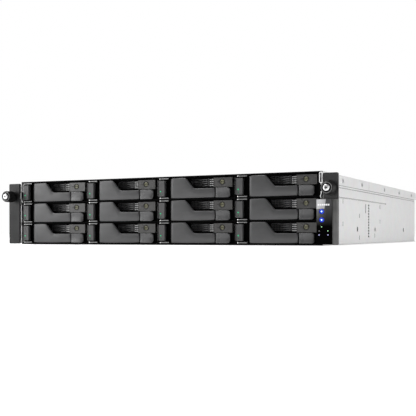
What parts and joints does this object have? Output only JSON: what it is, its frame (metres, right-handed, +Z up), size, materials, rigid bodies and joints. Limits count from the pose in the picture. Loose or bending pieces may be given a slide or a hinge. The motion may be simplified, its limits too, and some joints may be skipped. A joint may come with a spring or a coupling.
{
  "type": "network attached storage",
  "caption": "Rack-mounted network storage unit: steel chassis with hot-swap drive trays behind sprung levers, rack ears with thumbscrews and a lit control panel.",
  "frame": {"origin": "centre of the overall footprint, at the underside of the bottom sheet", "axes": "+X to the right seen from the front, +Y from the front to the rear, +Z up"},
  "size_m": [0.4826, 0.608, 0.088],
  "materials": {
    "galvanised_steel": "fine grained bare zinc-coated sheet",
    "screw_steel": "machined",
    "black_steel": "satin black powder coat",
    "ear_plastic": "fine texture",
    "gloss_panel": "high gloss black",
    "circuit_board": "solder mask",
    "fan_plastic": "satin",
    "heatsink_aluminium": "extruded",
    "port_metal": "satin",
    "tray_plastic": "fine texture",
    "lever_plastic": "fine texture, slight sheen",
    "knob_black": "satin black, knurled",
    "lit_button": "lit blue",
    "psu_case": "satin",
    "psu_latch": "green"
  },
  "bodies": {
    "chassis": {"chassis_base": "galvanised_steel", "front_cover": "galvanised_steel", "top_cover": "galvanised_steel", "cover_screws": "screw_steel", "drive_cage": "black_steel", "left_ear": "ear_plastic", "right_ear": "ear_plastic", "control_panel": "gloss_panel", "backplane": "circuit_board", "fan_frames": "fan_plastic", "motherboard": "circuit_board", "cpu_heatsink": "heatsink_aluminium", "rear_ports": "port_metal"},
    "tray_1": {"drive_tray_1": "tray_plastic"},
    "lever_1": {"tray_lever_1": "lever_plastic"},
    "button_1": {"release_button_1": "lever_plastic"},
    "tray_2": {"drive_tray_2": "tray_plastic"},
    "lever_2": {"tray_lever_2": "lever_plastic"},
    "button_2": {"release_button_2": "lever_plastic"},
    "tray_3": {"drive_tray_3": "tray_plastic"},
    "lever_3": {"tray_lever_3": "lever_plastic"},
    "button_3": {"release_button_3": "lever_plastic"},
    "tray_4": {"drive_tray_4": "tray_plastic"},
    "lever_4": {"tray_lever_4": "lever_plastic"},
    "button_4": {"release_button_4": "lever_plastic"},
    "tray_5": {"drive_tray_5": "tray_plastic"},
    "lever_5": {"tray_lever_5": "lever_plastic"},
    "button_5": {"release_button_5": "lever_plastic"},
    "tray_6": {"drive_tray_6": "tray_plastic"},
    "lever_6": {"tray_lever_6": "lever_plastic"},
    "button_6": {"release_button_6": "lever_plastic"},
    "tray_7": {"drive_tray_7": "tray_plastic"},
    "lever_7": {"tray_lever_7": "lever_plastic"},
    "button_7": {"release_button_7": "lever_plastic"},
    "tray_8": {"drive_tray_8": "tray_plastic"},
    "lever_8": {"tray_lever_8": "lever_plastic"},
    "button_8": {"release_button_8": "lever_plastic"},
    "tray_9": {"drive_tray_9": "tray_plastic"},
    "lever_9": {"tray_lever_9": "lever_plastic"},
    "button_9": {"release_button_9": "lever_plastic"},
    "tray_10": {"drive_tray_10": "tray_plastic"},
    "lever_10": {"tray_lever_10": "lever_plastic"},
    "button_10": {"release_button_10": "lever_plastic"},
    "tray_11": {"drive_tray_11": "tray_plastic"},
    "lever_11": {"tray_lever_11": "lever_plastic"},
    "button_11": {"release_button_11": "lever_plastic"},
    "tray_12": {"drive_tray_12": "tray_plastic"},
    "lever_12": {"tray_lever_12": "lever_plastic"},
    "button_12": {"release_button_12": "lever_plastic"},
    "left_thumbscrew": {"left_thumbscrew": "knob_black"},
    "right_thumbscrew": {"right_thumbscrew": "knob_black"},
    "power_button": {"power_button": "lit_button"},
    "ident_button": {"ident_button": "lit_button"},
    "fan_rotor_1": {"fan_rotor_1": "fan_plastic"},
    "fan_rotor_2": {"fan_rotor_2": "fan_plastic"},
    "fan_rotor_3": {"fan_rotor_3": "fan_plastic"},
    "psu_1": {"power_supply_1": "psu_case"},
    "psu_latch_1": {"psu_latch_1": "psu_latch"},
    "psu_2": {"power_supply_2": "psu_case"},
    "psu_latch_2": {"psu_latch_2": "psu_latch"}
  },
  "joints": [
    {"name": "tray_slide_1", "type": "slide", "parent": "chassis", "child": "tray_1", "axis": [0, -1, 0], "range_m": [0, 0.14]},
    {"name": "lever_hinge_1", "type": "hinge", "parent": "tray_1", "child": "lever_1", "pos_m": [-0.1977, -0.277, 0.0727], "axis": [0, 0, -1], "range_deg": [0, 60]},
    {"name": "button_press_1", "type": "slide", "parent": "tray_1", "child": "button_1", "axis": [0, 1, 0], "range_m": [0, 0.002], "stiffness_N_per_m": 400},
    {"name": "tray_slide_2", "type": "slide", "parent": "chassis", "child": "tray_2", "axis": [0, -1, 0], "range_m": [0, 0.14]},
    {"name": "lever_hinge_2", "type": "hinge", "parent": "tray_2", "child": "lever_2", "pos_m": [-0.0881, -0.277, 0.0727], "axis": [0, 0, -1], "range_deg": [0, 60]},
    {"name": "button_press_2", "type": "slide", "parent": "tray_2", "child": "button_2", "axis": [0, 1, 0], "range_m": [0, 0.002], "stiffness_N_per_m": 400},
    {"name": "tray_slide_3", "type": "slide", "parent": "chassis", "child": "tray_3", "axis": [0, -1, 0], "range_m": [0, 0.14]},
    {"name": "lever_hinge_3", "type": "hinge", "parent": "tray_3", "child": "lever_3", "pos_m": [0.0215, -0.277, 0.0727], "axis": [0, 0, -1], "range_deg": [0, 60]},
    {"name": "button_press_3", "type": "slide", "parent": "tray_3", "child": "button_3", "axis": [0, 1, 0], "range_m": [0, 0.002], "stiffness_N_per_m": 400},
    {"name": "tray_slide_4", "type": "slide", "parent": "chassis", "child": "tray_4", "axis": [0, -1, 0], "range_m": [0, 0.14]},
    {"name": "lever_hinge_4", "type": "hinge", "parent": "tray_4", "child": "lever_4", "pos_m": [0.1311, -0.277, 0.0727], "axis": [0, 0, -1], "range_deg": [0, 60]},
    {"name": "button_press_4", "type": "slide", "parent": "tray_4", "child": "button_4", "axis": [0, 1, 0], "range_m": [0, 0.002], "stiffness_N_per_m": 400},
    {"name": "tray_slide_5", "type": "slide", "parent": "chassis", "child": "tray_5", "axis": [0, -1, 0], "range_m": [0, 0.14]},
    {"name": "lever_hinge_5", "type": "hinge", "parent": "tray_5", "child": "lever_5", "pos_m": [-0.1977, -0.277, 0.0441], "axis": [0, 0, -1], "range_deg": [0, 60]},
    {"name": "button_press_5", "type": "slide", "parent": "tray_5", "child": "button_5", "axis": [0, 1, 0], "range_m": [0, 0.002], "stiffness_N_per_m": 400},
    {"name": "tray_slide_6", "type": "slide", "parent": "chassis", "child": "tray_6", "axis": [0, -1, 0], "range_m": [0, 0.14]},
    {"name": "lever_hinge_6", "type": "hinge", "parent": "tray_6", "child": "lever_6", "pos_m": [-0.0881, -0.277, 0.0441], "axis": [0, 0, -1], "range_deg": [0, 60]},
    {"name": "button_press_6", "type": "slide", "parent": "tray_6", "child": "button_6", "axis": [0, 1, 0], "range_m": [0, 0.002], "stiffness_N_per_m": 400},
    {"name": "tray_slide_7", "type": "slide", "parent": "chassis", "child": "tray_7", "axis": [0, -1, 0], "range_m": [0, 0.14]},
    {"name": "lever_hinge_7", "type": "hinge", "parent": "tray_7", "child": "lever_7", "pos_m": [0.0215, -0.277, 0.0441], "axis": [0, 0, -1], "range_deg": [0, 60]},
    {"name": "button_press_7", "type": "slide", "parent": "tray_7", "child": "button_7", "axis": [0, 1, 0], "range_m": [0, 0.002], "stiffness_N_per_m": 400},
    {"name": "tray_slide_8", "type": "slide", "parent": "chassis", "child": "tray_8", "axis": [0, -1, 0], "range_m": [0, 0.14]},
    {"name": "lever_hinge_8", "type": "hinge", "parent": "tray_8", "child": "lever_8", "pos_m": [0.1311, -0.277, 0.0441], "axis": [0, 0, -1], "range_deg": [0, 60]},
    {"name": "button_press_8", "type": "slide", "parent": "tray_8", "child": "button_8", "axis": [0, 1, 0], "range_m": [0, 0.002], "stiffness_N_per_m": 400},
    {"name": "tray_slide_9", "type": "slide", "parent": "chassis", "child": "tray_9", "axis": [0, -1, 0], "range_m": [0, 0.14]},
    {"name": "lever_hinge_9", "type": "hinge", "parent": "tray_9", "child": "lever_9", "pos_m": [-0.1977, -0.277, 0.0155], "axis": [0, 0, -1], "range_deg": [0, 60]},
    {"name": "button_press_9", "type": "slide", "parent": "tray_9", "child": "button_9", "axis": [0, 1, 0], "range_m": [0, 0.002], "stiffness_N_per_m": 400},
    {"name": "tray_slide_10", "type": "slide", "parent": "chassis", "child": "tray_10", "axis": [0, -1, 0], "range_m": [0, 0.14]},
    {"name": "lever_hinge_10", "type": "hinge", "parent": "tray_10", "child": "lever_10", "pos_m": [-0.0881, -0.277, 0.0155], "axis": [0, 0, -1], "range_deg": [0, 60]},
    {"name": "button_press_10", "type": "slide", "parent": "tray_10", "child": "button_10", "axis": [0, 1, 0], "range_m": [0, 0.002], "stiffness_N_per_m": 400},
    {"name": "tray_slide_11", "type": "slide", "parent": "chassis", "child": "tray_11", "axis": [0, -1, 0], "range_m": [0, 0.14]},
    {"name": "lever_hinge_11", "type": "hinge", "parent": "tray_11", "child": "lever_11", "pos_m": [0.0215, -0.277, 0.0155], "axis": [0, 0, -1], "range_deg": [0, 60]},
    {"name": "button_press_11", "type": "slide", "parent": "tray_11", "child": "button_11", "axis": [0, 1, 0], "range_m": [0, 0.002], "stiffness_N_per_m": 400},
    {"name": "tray_slide_12", "type": "slide", "parent": "chassis", "child": "tray_12", "axis": [0, -1, 0], "range_m": [0, 0.14]},
    {"name": "lever_hinge_12", "type": "hinge", "parent": "tray_12", "child": "lever_12", "pos_m": [0.1311, -0.277, 0.0155], "axis": [0, 0, -1], "range_deg": [0, 60]},
    {"name": "button_press_12", "type": "slide", "parent": "tray_12", "child": "button_12", "axis": [0, 1, 0], "range_m": [0, 0.002], "stiffness_N_per_m": 400},
    {"name": "left_thumbscrew_turn", "type": "hinge", "parent": "chassis", "child": "left_thumbscrew", "pos_m": [-0.23255, -0.289, 0.067], "axis": [0, 1, 0], "continuous": true},
    {"name": "right_thumbscrew_turn", "type": "hinge", "parent": "chassis", "child": "right_thumbscrew", "pos_m": [0.23255, -0.289, 0.067], "axis": [0, 1, 0], "continuous": true},
    {"name": "power_button_press", "type": "slide", "parent": "chassis", "child": "power_button", "axis": [0, 1, 0], "range_m": [0, 0.001], "stiffness_N_per_m": 500},
    {"name": "ident_button_press", "type": "slide", "parent": "chassis", "child": "ident_button", "axis": [0, 1, 0], "range_m": [0, 0.001], "stiffness_N_per_m": 500},
    {"name": "fan_spin_1", "type": "hinge", "parent": "chassis", "child": "fan_rotor_1", "pos_m": [-0.14, -0.075, 0.041], "axis": [0, 1, 0], "continuous": true},
    {"name": "fan_spin_2", "type": "hinge", "parent": "chassis", "child": "fan_rotor_2", "pos_m": [0, -0.075, 0.041], "axis": [0, 1, 0], "continuous": true},
    {"name": "fan_spin_3", "type": "hinge", "parent": "chassis", "child": "fan_rotor_3", "pos_m": [0.14, -0.075, 0.041], "axis": [0, 1, 0], "continuous": true},
    {"name": "psu_slide_1", "type": "slide", "parent": "chassis", "child": "psu_1", "axis": [0, 1, 0], "range_m": [0, 0.15]},
    {"name": "psu_latch_slide_1", "type": "slide", "parent": "psu_1", "child": "psu_latch_1", "axis": [-1, 0, 0], "range_m": [0, 0.003], "stiffness_N_per_m": 600},
    {"name": "psu_slide_2", "type": "slide", "parent": "chassis", "child": "psu_2", "axis": [0, 1, 0], "range_m": [0, 0.15]},
    {"name": "psu_latch_slide_2", "type": "slide", "parent": "psu_2", "child": "psu_latch_2", "axis": [-1, 0, 0], "range_m": [0, 0.003], "stiffness_N_per_m": 600}
  ]
}
